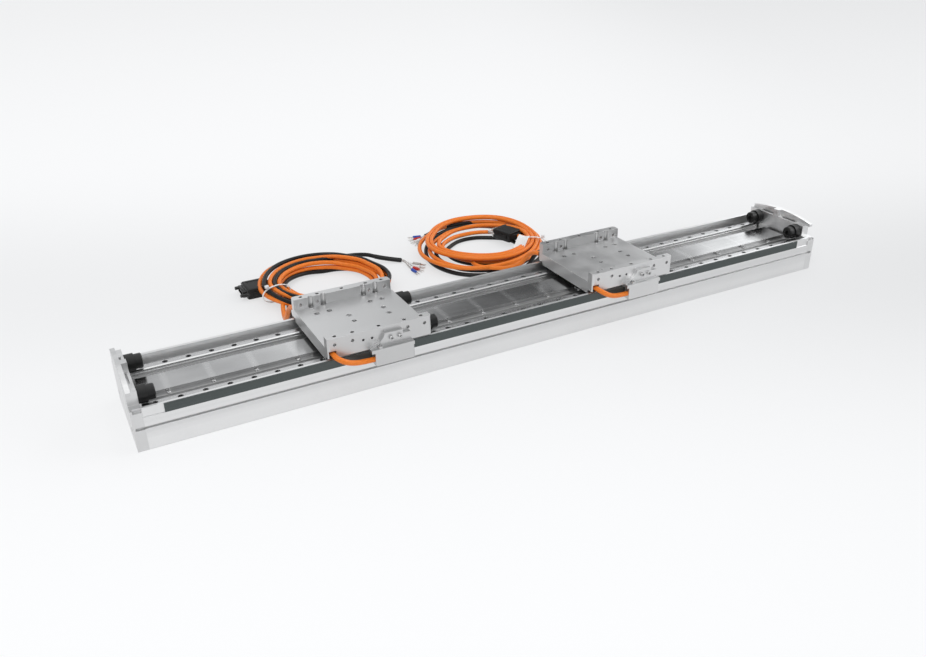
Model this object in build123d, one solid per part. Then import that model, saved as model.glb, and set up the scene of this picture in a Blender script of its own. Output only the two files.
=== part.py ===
from build123d import *
from math import pi, radians, sqrt, tan
import os

# Linear motor module: an extruded base with two guide rails and a magnet track, and two carriages
# that run along it. X is the direction of travel, Z is up, and the scale tape is on the -Y side.
# The origin is the centre of the base's underside. All sizes are in millimetres.

# Base extrusion
base_length = 890.0
base_width = 116.0
wall_thickness = 4.0
floor_height = 32.0
wall_height = 15.0
bottom_skin = 5.0
floor_skin = 6.0
web_thickness = 3.0
rail_rib_width = 19.0
foot_width = 24.0
foot_relief = 1.0
side_groove_height = 2.5
side_groove_depth = 3.0
side_groove_z = 25.2

# Tapped holes in the underside, for screws that hold the module down
mount_hole_radius = 2.5
mount_hole_depth = 12.0
mount_spacing_x = 400.0
mount_columns = 3

# Guide rails and their blocks
rail_end_gap = 2.5
rail_width = 12.0
rail_height = 8.0
rail_inset = 18.0
rail_chamfer = 1.8
rail_groove_radius = 1.1
rail_hole_pitch = 25.0
rail_first_hole = 12.5
rail_last_margin = 6.0
rail_counterbore_radius = 3.0
rail_counterbore_depth = 4.5
block_width = 27.0
block_length = 34.7
block_height = 10.0
block_under_rail_top = 5.0
block_cap_length = 2.9
block_end_margin = 27.5
block_bolt_x = 15.0
block_bolt_y = 20.0
running_gap = 0.3

# Magnet track
track_end_gap = 5.0
yoke_side_gap = 16.0
yoke_thickness = 4.0
magnet_thickness = 3.2
magnet_side_margin = 7.5
magnet_length = 19.0
magnet_pitch = 22.85
cover_side_margin = 6.5
cover_thickness = 0.5
air_gap = 1.1

# Scale tape, in a step along the front wall
tape_end_gap = 21.0
tape_width = 10.0
tape_thickness = 1.2
tape_step = 1.0
tape_below_wall_top = 0.2

# End blocks
end_thickness = 11.0
end_flange_thickness = 5.0
end_arch_top = 69.5
end_arch_radius = 220.0
end_side_margin = 6.5
end_tip_z = 60.0
end_neck_margin = 12.5
end_ledge_z = 46.0
end_tab_width = 9.0
end_tab_y = 5.0
end_slot_length = 24.0
end_slot_width = 3.0
end_slot_depth = 4.0
end_slot_ys = (22.0, -15.0)
end_notch_length = 9.0
end_notch_height = 3.5
end_screw_head_radius = 4.25
end_screw_head_height = 5.0
end_screw_seat_gap = 0.5
end_screw_z = 15.0

# Bumpers
bumper_length = 17.5
bumper_base_length = 9.5
bumper_base_radius = 9.5
bumper_nose_radius = 8.0
bumper_edge = 1.0
bumper_recess_radius = 3.0
bumper_recess_depth = 3.0
bumper_inside_rail = 5.0
bumper_above_rail = 10.7

# Carriages
carriage_length = 120.0
carriage_a_x = -195.25
carriage_b_x = 140.4
table_thickness = 15.0
plate_thickness = 10.0
plate_height = 23.0
plate_bottom_above_wall = 2.5
plate_chamfer = 2.0
table_side_margin = 8.0
screw_head_radius = 2.75
screw_head_height = 3.0
counterbore_radius = 3.1
counterbore_depth = 5.0
small_sides = 10
plate_hole_radius = 2.1
plate_hole_depth = 9.0
plate_hole_margins = (10.0, 30.0)
face_hole_radius = 2.0
face_hole_margins = (8.0, 28.0)
face_hole_below_top = 7.5
dowel_hole_radius = 1.5
dowel_hole_xs = (-20.0, -10.0)
dowel_hole_below_top = 10.0
dowel_hole_depth = 6.0

# Forcer, in a pocket in the underside of the table
forcer_end_wall = 11.0
forcer_side_gap = 16.0
forcer_height = 13.0
forcer_fit = 0.5
forcer_bolt_x = 42.3
forcer_bolt_y = 16.0
forcer_bolt_offset = 11.2

# Cables
signal_diameter = 6.0
power_diameter = 6.0
cable_fit = 0.3
cable_x = 5.2
cable_above_plate_bottom = 4.4
power_beside_signal = 8.0
front_opening_width = 8.0
opening_height = 8.5
opening_side = 1.2
back_opening_width = 16.0
bushing_stand_out = 2.0

# Reader, hung from the front plate by a bracket
reader_x = 49.5
reader_length = 45.5
reader_height = 16.0
reader_depth = 9.8
reader_gap = 1.0
reader_edge = 1.0
bracket_drop = 1.5
bracket_x = 45.0
bracket_length = 50.0
bracket_ledge_thickness = 4.0
bracket_ledge_depth = 10.0
bracket_tab_thickness = 4.5
bracket_tab_x = 63.0
bracket_tab_width = 21.0
bracket_tab_height = 18.5
bracket_ear_width = 9.0
bracket_ear_height = 14.0
bracket_bow = 0.35
bracket_screws_x = (70.0, 80.0)
bracket_screw_below_top = 6.5
reader_screw_x = 56.0

# The reader's cable bows out from the plate and comes down to the head's end
reader_cable_depth = 9.4
reader_cable_straight = 14.0
reader_cable_bow = 10.0
reader_cable_turn = 3.5
reader_cable_rises = (0.42, 0.85)
reader_cable_exit = 1.5

# Cable coils that lie on the surface behind the module
coil_outer_radius = 94.0
coil_band = 42.0
coil_height = 26.0
coil_bevel = 8.0
coil_a_centre = (-148.0, 222.0)
coil_b_centre = (87.0, 230.0)

# Route points of the free cables, from the carriage's bushing down to the coil
signal_lead_points = {
    "a": [(0, 0, 0), (0, 23, 0), (-1, 45, -36), (10, 96, -44), (24, 140, -42)],
    "b": [(0, 0, 0), (0, 23, 0), (-7, 44, -35), (-40, 86, -42)],
}
power_lead_points = {
    "a": [(0, 0, 0), (0, 21, 0), (0.5, 42, -40), (8, 92, -50), (22, 136, -49)],
    "b": [(0, 0, 0), (0, 21, 0), (-4, 41, -40), (-36, 81, -49)],
}
power_tail_points = {
    "a": [(-82, 276, 14), (-60, 264, 6), (-36, 249, 3.4)],
    "b": [(70, 311, 15), (56, 320, 7), (40, 317, 3.4)],
}

# Hooded connectors
hood_length = 34.0
hood_width = 32.0
hood_height = 15.0
hood_edge = 2.0
shell_length = 6.0
shell_width = 25.0
shell_height = 9.0

# Wire ends with fork terminals
wire_diameter = 1.8
sleeve_radius = 2.0
sleeve_length = 9.0
fork_length = 10.0
fork_width = 5.5
fork_thickness = 0.8
fork_slot = 2.4
fork_slot_length = 5.5
fork_overlap = 1.0
fork_places = {
    "a": [(-29, 214, -72), (-26, 221, -58), (-22, 229, -50), (-34, 209, -88)],
    "b": [(30, 321, 165), (27, 315, 185), (24, 309, 205), (22, 302, 225)],
}
connector_places = {"a": (-248.0, 247.0, 0.0, 180.0), "b": (141.0, 239.0, 7.0, 108.0)}

# Sizes and heights that follow from the ones above
half_base = base_width / 2
rail_gauge = base_width - 2 * rail_inset
yoke_width = rail_gauge - 2 * yoke_side_gap
magnet_width = yoke_width - 2 * magnet_side_margin
cover_width = yoke_width - 2 * cover_side_margin
forcer_width = rail_gauge - 2 * forcer_side_gap
table_half_width = half_base - table_side_margin
end_half_width = half_base - end_side_margin
end_neck_y = end_neck_margin - half_base
bumper_y = rail_gauge / 2 - bumper_inside_rail
rail_length = base_length - 2 * rail_end_gap
rail_hole_count = int((rail_length - rail_first_hole - rail_last_margin) / rail_hole_pitch) + 1
track_length = base_length - 2 * track_end_gap
tape_length = base_length - 2 * tape_end_gap
forcer_length = carriage_length - 2 * forcer_end_wall
block_spacing = carriage_length - 2 * block_end_margin
plate_hole_places = [side * (carriage_length / 2 - margin) for margin in plate_hole_margins for side in (-1, 1)] + [0]
face_hole_places = [side * (carriage_length / 2 - margin) for margin in face_hole_margins for side in (-1, 1)]
wall_top = floor_height + wall_height
rail_top = floor_height + rail_height
block_bottom = rail_top - block_under_rail_top
table_bottom = block_bottom + block_height
table_top = table_bottom + table_thickness
plate_bottom = wall_top + plate_bottom_above_wall
plate_top = plate_bottom + plate_height
plate_outer = table_half_width + plate_thickness
cover_top = floor_height + yoke_thickness + magnet_thickness + cover_thickness
forcer_bottom = cover_top + air_gap
forcer_top = forcer_bottom + forcer_height
cable_z = plate_bottom + cable_above_plate_bottom
tape_face = half_base - tape_step + tape_thickness
bracket_bottom = plate_bottom - bracket_drop
reader_face = tape_face + reader_gap
MIN = (Align.CENTER, Align.CENTER, Align.MIN)


def block(x0, x1, y0, y1, z0, z1):
    return Pos((x0 + x1) / 2, (y0 + y1) / 2, z0) * Box(x1 - x0, y1 - y0, z1 - z0, align=MIN)


def patch(a0, a1, b0, b1, radius=0.0):
    width, height = a1 - a0, b1 - b0
    face = RectangleRounded(width, height, radius) if radius else Rectangle(width, height)
    return Pos((a0 + a1) / 2, (b0 + b1) / 2) * face


def along_x(profile, x0, length):
    return extrude(Plane.YZ.offset(x0) * profile, length)


def small_round(radius, z0, z1):
    # Small holes and heads that repeat many times have a few flat sides instead of a round wall
    return Pos(0, 0, z0) * extrude(RegularPolygon(radius, small_sides), z1 - z0)


def save(name, shape):
    solids = shape.solids()
    shape = solids[0] if len(solids) == 1 else Compound(children=list(solids))
    export_step(shape, f"parts/{name}.step")


def tube(points, diameter):
    vectors = [Vector(*p) for p in points]
    radii = []
    for before, at, after in zip(vectors, vectors[1:], vectors[2:]):
        turn = radians((at - before).get_angle(after - at))
        run = min((at - before).length, (after - at).length)
        radii.append(0.45 * run / tan(turn / 2))
    path = FilletPolyline(*points, radius=radii)
    section = Plane(origin=path @ 0, z_dir=path % 0) * Circle(diameter / 2)
    body = sweep(section, path=path)
    print("radii", [round(r, 1) for r in radii], "length", round(path.length, 1),
          "volume ratio", round(body.volume / (path.length * pi * diameter ** 2 / 4), 4))
    return body


# Base extrusion: a flat hollow beam with a shallow channel on top and a clamp groove in each side
def base_extrusion():
    beam = patch(-half_base, half_base, 0, floor_height)
    for side in (-1, 1):
        outer, inner = side * half_base, side * (half_base - wall_thickness)
        beam += patch(min(outer, inner), max(outer, inner), floor_height - 1, wall_top)
    relief = half_base - foot_width
    beam -= patch(-relief, relief, -1, foot_relief)
    rib_inner = (rail_gauge - rail_rib_width) / 2
    rib_outer = (rail_gauge + rail_rib_width) / 2
    chamber_low = bottom_skin + foot_relief
    chamber_high = floor_height - floor_skin
    bay = (2 * rib_inner - 2 * web_thickness) / 3
    for index in (-1, 0, 1):
        middle = index * (bay + web_thickness)
        beam -= patch(middle - bay / 2, middle + bay / 2, chamber_low, chamber_high)
    groove_low = side_groove_z - side_groove_height / 2
    groove_high = side_groove_z + side_groove_height / 2
    for side in (-1, 1):
        a, b = side * rib_outer, side * (half_base - wall_thickness)
        side_chamber_top = groove_low - wall_thickness
        beam -= patch(min(a, b), max(a, b), chamber_low, side_chamber_top)
        a, b = side * (half_base - side_groove_depth), side * (half_base + 1)
        beam -= patch(min(a, b), max(a, b), groove_low, groove_high)
    tape_low = wall_top - tape_below_wall_top - tape_width
    beam -= patch(-half_base - 1, -half_base + tape_step, tape_low, wall_top + 1)
    body = along_x(beam, -base_length / 2, base_length)
    for column in range(mount_columns):
        x = (column - (mount_columns - 1) / 2) * mount_spacing_x
        for side in (-1, 1):
            body -= Pos(x, side * rail_gauge / 2, 0) * Cylinder(mount_hole_radius, mount_hole_depth, align=MIN)
    return body


# Guide rail: a ground bar with a ball groove in each flank and counterbored screw holes
def guide_rail(side):
    half = rail_width / 2
    outline = Polyline(
        (-half, 0), (half, 0), (half, rail_height - rail_chamfer / 2),
        (half - rail_chamfer, rail_height), (-half + rail_chamfer, rail_height),
        (-half, rail_height - rail_chamfer / 2), close=True)
    profile = make_face(outline)
    groove_height = rail_height - block_under_rail_top / 2 - 0.5
    for flank in (-1, 1):
        centre = flank * (half + rail_groove_radius / 2)
        profile -= Pos(centre, groove_height) * Circle(rail_groove_radius)
    body = along_x(profile, -rail_length / 2, rail_length)
    bore = small_round(rail_counterbore_radius, rail_height - rail_counterbore_depth, rail_height + 1)
    for hole in range(rail_hole_count):
        body -= Pos(-rail_length / 2 + rail_first_hole + hole * rail_hole_pitch, 0, 0) * bore
    return Pos(0, side * rail_gauge / 2, floor_height) * body


# Magnet track: a steel yoke on the channel floor, a row of plate magnets and a stainless cover
def magnet_yoke():
    return block(-track_length / 2, track_length / 2, -yoke_width / 2, yoke_width / 2,
                 floor_height, floor_height + yoke_thickness)


def magnets():
    low = floor_height + yoke_thickness
    count = int((track_length - magnet_length) / magnet_pitch) + 1
    start = -(count - 1) * magnet_pitch / 2
    row = Compound(children=[
        Pos(start + index * magnet_pitch, 0, low) * Box(magnet_length, magnet_width, magnet_thickness, align=MIN)
        for index in range(count)])
    return row


def magnet_cover():
    low = floor_height + yoke_thickness
    high = cover_top
    half = cover_width / 2
    hat = patch(-half, half, low, high)
    hat -= patch(-half + cover_thickness, half - cover_thickness, low - 1, high - cover_thickness)
    return along_x(hat, -track_length / 2, track_length)


def scale_tape():
    high = wall_top - tape_below_wall_top
    return block(-tape_length / 2, tape_length / 2, -tape_face, -half_base + tape_step,
                 high - tape_width, high)


# End block: a thick plate that closes the channel, with an arched flange that carries a cover
def end_block():
    arch = end_arch_top - end_arch_radius
    body = patch(-half_base, half_base, 0, end_ledge_z)
    tip_top = arch + sqrt(end_arch_radius ** 2 - end_half_width ** 2)
    crown = make_face([
        Line((-end_half_width, tip_top), (-end_half_width, end_tip_z)),
        Line((-end_half_width, end_tip_z), (end_neck_y, end_tip_z)),
        Line((end_neck_y, end_tip_z), (end_neck_y, end_ledge_z - 1)),
        Line((end_neck_y, end_ledge_z - 1), (end_half_width, end_ledge_z - 1)),
        Line((end_half_width, end_ledge_z - 1), (end_half_width, tip_top)),
        ThreePointArc((end_half_width, tip_top), (0, end_arch_top), (-end_half_width, tip_top))])
    flange = extrude(Plane.YZ * (body + crown), end_thickness)
    seat_depth = end_thickness - end_flange_thickness
    seat_cut = block(-1, seat_depth, -half_base, half_base, end_tip_z, end_arch_top + 1)
    tab_low, tab_high = end_tab_y - end_tab_width / 2, end_tab_y + end_tab_width / 2
    seat_cut -= block(-1, seat_depth, tab_low, tab_high, 0, end_arch_top + 1)
    flange -= seat_cut
    slot = block(seat_depth - end_slot_width, seat_depth, -end_slot_length / 2, end_slot_length / 2,
                 end_tip_z - end_slot_depth, end_arch_top)
    for y in end_slot_ys:
        flange -= Pos(0, y, 0) * slot
    groove_low = side_groove_z - end_notch_height / 2
    for low, high in ((groove_low, groove_low + end_notch_height), (end_ledge_z - end_notch_height, end_ledge_z + 1)):
        depth = side_groove_depth if low == groove_low else wall_thickness
        flange -= block(-1, end_notch_length, -half_base - 1, -half_base + depth, low, high)
    for side in (-1, 1):
        hole = Rot(0, 90, 0) * Cylinder(end_screw_head_radius, end_screw_head_height, align=MIN)
        flange -= Pos(end_thickness - end_screw_head_height, side * rail_gauge / 2, end_screw_z) * hole
    return flange


def end_block_right():
    return Pos(base_length / 2, 0, 0) * end_block()


def end_block_left():
    return mirror(end_block_right(), Plane.YZ)


def end_block_screws():
    height = end_screw_head_height - end_screw_seat_gap
    head = Rot(0, 90, 0) * Cylinder(end_screw_head_radius - running_gap, height, align=MIN)
    x = base_length / 2 + end_thickness - end_screw_head_height
    right = [Pos(x, side * rail_gauge / 2, end_screw_z) * head for side in (-1, 1)]
    left = [mirror(screw, Plane.YZ) for screw in right]
    return Compound(children=right + left)


# Bumper: a stepped rubber buffer on a face at x, pointing along +X or -X
def bumper(x, side, direction):
    z = rail_top + bumper_above_rail
    base = Cylinder(bumper_base_radius, bumper_base_length, align=MIN)
    nose = Cylinder(bumper_nose_radius, bumper_length, align=MIN)
    nose = chamfer(nose.edges().sort_by(Axis.Z)[-1], bumper_edge)
    body = base + nose
    recess = Cylinder(bumper_recess_radius, bumper_recess_depth, align=MIN)
    body -= Pos(0, 0, bumper_length - bumper_recess_depth) * recess
    return Pos(x, side * bumper_y, z) * Rot(0, 90 * direction, 0) * body


# Carriage parts are drawn about x = 0 and moved to each carriage's place
def outer_screw_places():
    places = []
    for end in (-1, 1):
        for step in (-1, 1):
            places.append(end * block_spacing / 2 + step * block_bolt_x / 2)
    return places


def table_plate():
    half = carriage_length / 2
    body = block(-half, half, -table_half_width, table_half_width, table_bottom, table_top)
    pocket_x = forcer_length / 2 + forcer_fit
    pocket_y = forcer_width / 2 + forcer_fit
    body -= block(-pocket_x, pocket_x, -pocket_y, pocket_y, table_bottom - 1, forcer_top)
    head_hole = small_round(counterbore_radius, table_top - counterbore_depth, table_top + 1)
    for x in outer_screw_places():
        for side in (-1, 1):
            for step in (-1, 1):
                y = side * rail_gauge / 2 + step * block_bolt_y / 2
                body -= Pos(x, y, 0) * head_hole
    for step in (-1, 1):
        for side in (-1, 1):
            x = forcer_bolt_offset + step * forcer_bolt_x / 2
            body -= Pos(x, side * forcer_bolt_y / 2, 0) * small_round(
                counterbore_radius, table_top - screw_head_height, table_top + 1)
    cable = Rot(90, 0, 0) * Cylinder(signal_diameter / 2 + cable_fit, 2 * table_half_width + 2)
    return body - Pos(-half + cable_x, 0, cable_z) * cable


def side_plate(side):
    half = carriage_length / 2
    body = block(-half, half, table_half_width, plate_outer, plate_bottom, plate_top)
    corners = body.edges().filter_by(Axis.Z).group_by(Axis.Y)[-1]
    body = chamfer(corners, plate_chamfer)
    slot = small_round(counterbore_radius, table_top - counterbore_depth, plate_top + 1)
    for x in outer_screw_places():
        body -= Pos(x, (rail_gauge + block_bolt_y) / 2, 0) * slot
    middle = table_half_width + plate_thickness / 2
    tapped = Cylinder(plate_hole_radius, plate_hole_depth, align=MIN)
    for x in plate_hole_places:
        body -= Pos(x, middle, plate_top - plate_hole_depth) * tapped
    through = Rot(90, 0, 0) * extrude(RegularPolygon(face_hole_radius, small_sides), plate_thickness + 2)
    for x in face_hole_places:
        body -= Pos(x, plate_outer + 1, plate_top - face_hole_below_top) * through
    if side > 0:
        width = back_opening_width
    else:
        width = front_opening_width
        dowel = Rot(90, 0, 0) * extrude(RegularPolygon(dowel_hole_radius, small_sides), dowel_hole_depth)
        for x in dowel_hole_xs:
            body -= Pos(x, plate_outer, plate_top - dowel_hole_below_top) * dowel
    opening = -half + opening_side
    body -= block(opening, opening + width, table_half_width - 1, plate_outer + 1,
                  plate_bottom - 1, plate_bottom + opening_height)
    return body if side > 0 else mirror(body, Plane.XZ)


def carriage_screws():
    seat = table_top - counterbore_depth
    body = small_round(screw_head_radius, 0, screw_head_height)
    group = []
    for x in outer_screw_places():
        for side in (-1, 1):
            for step in (-1, 1):
                y = side * rail_gauge / 2 + step * block_bolt_y / 2
                group.append(Pos(x, y, seat) * body)
    cap = small_round(screw_head_radius, table_top - screw_head_height, table_top)
    for step in (-1, 1):
        for side in (-1, 1):
            x = forcer_bolt_offset + step * forcer_bolt_x / 2
            group.append(Pos(x, side * forcer_bolt_y / 2, 0) * cap)
    return Compound(children=group)


def forcer():
    half_x, half_y = forcer_length / 2, forcer_width / 2
    return block(-half_x, half_x, -half_y, half_y, forcer_bottom, forcer_top)


def block_section(reach):
    # Section across the rail: a saddle with a channel that clears the rail all round
    half = block_width / 2 - reach
    channel = rail_width / 2 + running_gap
    section = patch(-half, half, block_bottom + reach, table_bottom - reach)
    return section - patch(-channel, channel, block_bottom - 1, rail_top + running_gap)


def guide_block(end, side):
    body_length = block_length - 2 * block_cap_length
    x = end * block_spacing / 2
    body = along_x(block_section(0), x - body_length / 2, body_length)
    return Pos(0, side * rail_gauge / 2, 0) * body


def block_end_caps():
    caps = []
    for end in (-1, 1):
        for side in (-1, 1):
            for outward in (-1, 1):
                x = end * block_spacing / 2 + outward * (block_length - block_cap_length) / 2
                cap = along_x(block_section(0.3), x - block_cap_length / 2, block_cap_length)
                caps.append(Pos(0, side * rail_gauge / 2, 0) * cap)
    return Compound(children=caps)


# Reader bracket: a flanged tab on the plate's face with a ledge that the reader hangs from
def reader_bracket():
    left = -carriage_length / 2
    ledge_top = bracket_bottom + bracket_ledge_thickness
    tab_top = bracket_bottom + bracket_tab_height
    x0, x1 = left + bracket_x, left + bracket_x + bracket_length
    t0, t1 = left + bracket_tab_x, left + bracket_tab_x + bracket_tab_width
    ear = t1 + bracket_ear_width
    ear_top = bracket_bottom + bracket_ear_height
    mid = (x0 + (t0 - x0) * (1 - bracket_bow), ledge_top + (tab_top - ledge_top) * bracket_bow)
    outline = make_face([
        Line((x0, plate_bottom), (x1, plate_bottom)), Line((x1, plate_bottom), (x1, ledge_top)),
        Line((x1, ledge_top), (ear, ledge_top)), Line((ear, ledge_top), (ear, ear_top)),
        Line((ear, ear_top), (t1, ear_top)), Line((t1, ear_top), (t1, tab_top)),
        Line((t1, tab_top), (t0, tab_top)), ThreePointArc((t0, tab_top), mid, (x0, ledge_top)),
        Line((x0, ledge_top), (x0, plate_bottom))])
    tab = extrude(Plane.XZ.offset(plate_outer) * outline, bracket_tab_thickness)
    shelf = block(x0, x1, -plate_outer - bracket_ledge_depth, -plate_outer, bracket_bottom, ledge_top)
    shelf += block(x0, x1, -plate_outer - 1, -reader_face, bracket_bottom, plate_bottom - running_gap)
    body = tab + shelf
    return body


def reader_head():
    x = -carriage_length / 2 + reader_x
    y = reader_face
    body = block(x, x + reader_length, -y - reader_depth, -y, bracket_bottom - reader_height, bracket_bottom)
    edges = body.edges().filter_by(Axis.Z).group_by(Axis.Y)[0]
    return chamfer(edges, reader_edge)


def reader_screws():
    left = -carriage_length / 2
    tab_top = bracket_bottom + bracket_tab_height
    face = -plate_outer - bracket_tab_thickness
    cap = Rot(90, 0, 0) * small_round(screw_head_radius, 0, screw_head_height)
    screws = [Pos(left + x, face, tab_top - bracket_screw_below_top) * cap for x in bracket_screws_x]
    ledge_top = bracket_bottom + bracket_ledge_thickness
    upright = small_round(screw_head_radius, ledge_top, ledge_top + screw_head_height)
    y = -plate_outer - (bracket_tab_thickness + bracket_ledge_depth) / 2
    screws.append(Pos(left + reader_screw_x, y, 0) * upright)
    return Compound(children=screws)


def reader_cable():
    left = -carriage_length / 2
    start = left + reader_x
    y = -(reader_face + reader_depth / 2)
    low = bracket_bottom - reader_cable_depth
    x = left + cable_x
    far = -(plate_outer + reader_cable_bow)
    drop = cable_z - low
    points = [(start, y, low), (start - reader_cable_straight, y, low),
              (x + 4 * reader_cable_turn, far, low + reader_cable_rises[0] * drop),
              (x + reader_cable_turn, far, low + reader_cable_rises[1] * drop),
              (x, -plate_outer - reader_cable_exit, cable_z), (x, plate_outer, cable_z)]
    return tube(points, signal_diameter)


def cable_bushing():
    # A block in the back plate's opening that grips both cables where they leave the carriage
    left = -carriage_length / 2
    x0 = left + opening_side
    body = block(x0, x0 + back_opening_width, table_half_width, plate_outer + bushing_stand_out,
                 plate_bottom, plate_bottom + opening_height)
    bore = Rot(90, 0, 0) * Cylinder(signal_diameter / 2, plate_thickness + 1)
    return body - Pos(left + cable_x, table_half_width + (plate_thickness - 1) / 2, cable_z) * bore


def coil(centre):
    profile = chamfer(Rectangle(coil_band, coil_height).vertices(), coil_bevel)
    middle = coil_outer_radius - coil_band / 2
    ring = revolve(Plane.XZ * Pos(middle, coil_height / 2) * profile, Axis.Z)
    return Pos(centre[0], centre[1], 0) * ring


def lead(letter, carriage_x, points, beside, diameter):
    # A free cable from the bushing's face down to the coil. Its points count from where it leaves
    x0 = carriage_x - carriage_length / 2 + cable_x + beside
    y0 = plate_outer + bushing_stand_out
    return tube([(x0 + x, y0 + y, cable_z + z) for x, y, z in points[letter]], diameter)


def connector(x, y, z, angle):
    hood = Box(hood_length, hood_width, hood_height, align=MIN)
    hood = chamfer(hood.edges().filter_by(Axis.Z), hood_edge)
    shell_z = (hood_height - shell_height) / 2
    shell = Pos(hood_length / 2 + shell_length / 2, 0, shell_z)
    hood += shell * Box(shell_length, shell_width, shell_height, align=MIN)
    return Pos(x, y, z) * Rot(0, 0, angle) * hood


def fork(x, y, angle):
    # One crimped terminal on the surface, its wire coming from the -X side before it is turned
    z = sleeve_radius
    sleeve = Pos(0, 0, z) * Rot(0, 90, 0) * small_round(sleeve_radius, 0, sleeve_length)
    tip = sleeve_length - fork_overlap + fork_length
    tongue = Pos(tip - fork_length / 2, 0, z) * Box(fork_length, fork_width, fork_thickness)
    notch = Pos(tip - fork_slot_length / 2, 0, z) * Box(fork_slot_length, fork_slot, fork_thickness)
    return Pos(x, y, 0) * Rot(0, 0, angle) * (sleeve + (tongue - notch))


def wire(start, end):
    run = Vector(*end) - Vector(*start)
    return Plane(origin=start, z_dir=run) * extrude(RegularPolygon(wire_diameter / 2, 6), run.length)


def terminals(letter):
    # The power cable's bare end: four wires, each crimped in a fork terminal
    tail = power_tail_points[letter][-1]
    pieces = []
    for index, (x, y, angle) in enumerate(fork_places[letter]):
        spread = Vector(0, 0, wire_diameter / 2).rotate(Axis.X, 90 * index)
        start = (tail[0] + spread.X, tail[1] + spread.Y, tail[2] + spread.Z)
        pieces.append(wire(start, (x, y, sleeve_radius)) + fork(x, y, angle))
    return Compound(children=pieces)


def main():
    os.makedirs("parts", exist_ok=True)
    save("base_extrusion", base_extrusion())
    save("rail_front", guide_rail(-1))
    save("rail_back", guide_rail(1))
    save("magnet_yoke", magnet_yoke())
    save("magnets", magnets())
    save("magnet_cover", magnet_cover())
    save("scale_tape", scale_tape())
    save("end_block_left", end_block_left())
    save("end_block_right", end_block_right())
    save("end_block_screws", end_block_screws())
    for name, side in (("front", -1), ("back", 1)):
        save(f"bumper_left_{name}", bumper(-base_length / 2, side, 1))
        save(f"bumper_right_{name}", bumper(base_length / 2, side, -1))
        save(f"bumper_a_{name}", bumper(carriage_a_x + carriage_length / 2, side, 1))
    for letter, x in (("a", carriage_a_x), ("b", carriage_b_x)):
        place = Pos(x, 0, 0)
        save(f"table_plate_{letter}", place * table_plate())
        save(f"side_plate_front_{letter}", place * side_plate(-1))
        save(f"side_plate_back_{letter}", place * side_plate(1))
        save(f"carriage_screws_{letter}", place * carriage_screws())
        save(f"forcer_{letter}", place * forcer())
        for side_name, side in (("front", -1), ("back", 1)):
            for end_name, end in (("left", -1), ("right", 1)):
                save(f"guide_block_{side_name}_{end_name}_{letter}", place * guide_block(end, side))
        save(f"block_end_caps_{letter}", place * block_end_caps())
        save(f"reader_bracket_{letter}", place * reader_bracket())
        save(f"reader_head_{letter}", place * reader_head())
        save(f"reader_screws_{letter}", place * reader_screws())
        save(f"reader_cable_{letter}", place * reader_cable())
        save(f"cable_bushing_{letter}", place * cable_bushing())
        save(f"signal_lead_{letter}", lead(letter, x, signal_lead_points, 0, signal_diameter))
        save(f"power_lead_{letter}", lead(letter, x, power_lead_points, power_beside_signal, power_diameter))
        save(f"power_tail_{letter}", tube(power_tail_points[letter], power_diameter))
        save(f"connector_{letter}", connector(*connector_places[letter]))
        save(f"terminals_{letter}", terminals(letter))
    save("coil_a", coil(coil_a_centre))
    save("coil_b", coil(coil_b_centre))


main()
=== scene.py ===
import math
import bpy
from mathutils import Matrix, Vector


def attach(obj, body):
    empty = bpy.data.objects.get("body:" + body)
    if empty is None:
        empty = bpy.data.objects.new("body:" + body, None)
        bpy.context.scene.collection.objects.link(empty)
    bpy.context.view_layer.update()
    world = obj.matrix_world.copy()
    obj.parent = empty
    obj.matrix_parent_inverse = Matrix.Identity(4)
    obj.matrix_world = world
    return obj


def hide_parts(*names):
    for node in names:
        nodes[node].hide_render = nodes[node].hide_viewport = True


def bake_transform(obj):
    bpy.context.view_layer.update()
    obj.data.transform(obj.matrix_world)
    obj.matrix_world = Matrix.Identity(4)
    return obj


# Linear motor module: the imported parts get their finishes, and the cables, screws, connectors
# and wire ends are modelled in detail. Everything is in metres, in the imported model's frame,
# apart from the tables of the cables' routes, which are in millimetres.

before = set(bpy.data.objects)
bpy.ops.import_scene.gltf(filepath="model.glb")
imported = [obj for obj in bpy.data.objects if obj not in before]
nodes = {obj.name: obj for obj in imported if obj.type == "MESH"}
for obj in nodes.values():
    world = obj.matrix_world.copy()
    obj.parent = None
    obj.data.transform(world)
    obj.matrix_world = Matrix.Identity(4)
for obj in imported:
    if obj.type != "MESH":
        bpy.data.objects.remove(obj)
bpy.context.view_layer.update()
MM = 0.001

# The middle of each carriage at rest, along X, and of each coil behind the module
CARRIAGES = {"a": -0.19525, "b": 0.1404}
COIL_CENTRES = {"a": (-0.148, 0.222), "b": (0.087, 0.230)}

# Where the signal cable leaves its carriage, with X from the carriage's middle; the power cable
# leaves beside it
CABLE_EXIT = (-0.0548, 0.062, 0.0539)
POWER_BESIDE = 0.008
CABLE_THICK = 0.006

# Rows of screws along X: the first one, the pitch and how many
RAIL_ROW = (-0.430, 0.025, 35)
TRACK_ROW = (-0.4132, 0.0457, 19)


# Camera and lamps

CAMERA_PLACE = (-0.49707, -0.8222, 0.49214)
CAMERA_ANGLES = (27.14, 26.96, -1.09)  # turn from +Y to +X, dip and roll
CAMERA_SENSOR, CAMERA_LENS = 36.0, 33.6
CAMERA_SHIFT = (0.0090, -0.0069)
CAMERA_REACH = 60.0
LAMPS = {  # place, width and depth, and power; each one is aimed at the origin
    "key": ((-1.6, -1.4, 2.4), (1.6, 1.6), 36),
    "top": ((0.3, 0.6, 2.6), (4.0, 3.0), 28),
    "right": ((2.2, -0.8, 1.4), (1.2, 1.2), 10),
}


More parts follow.
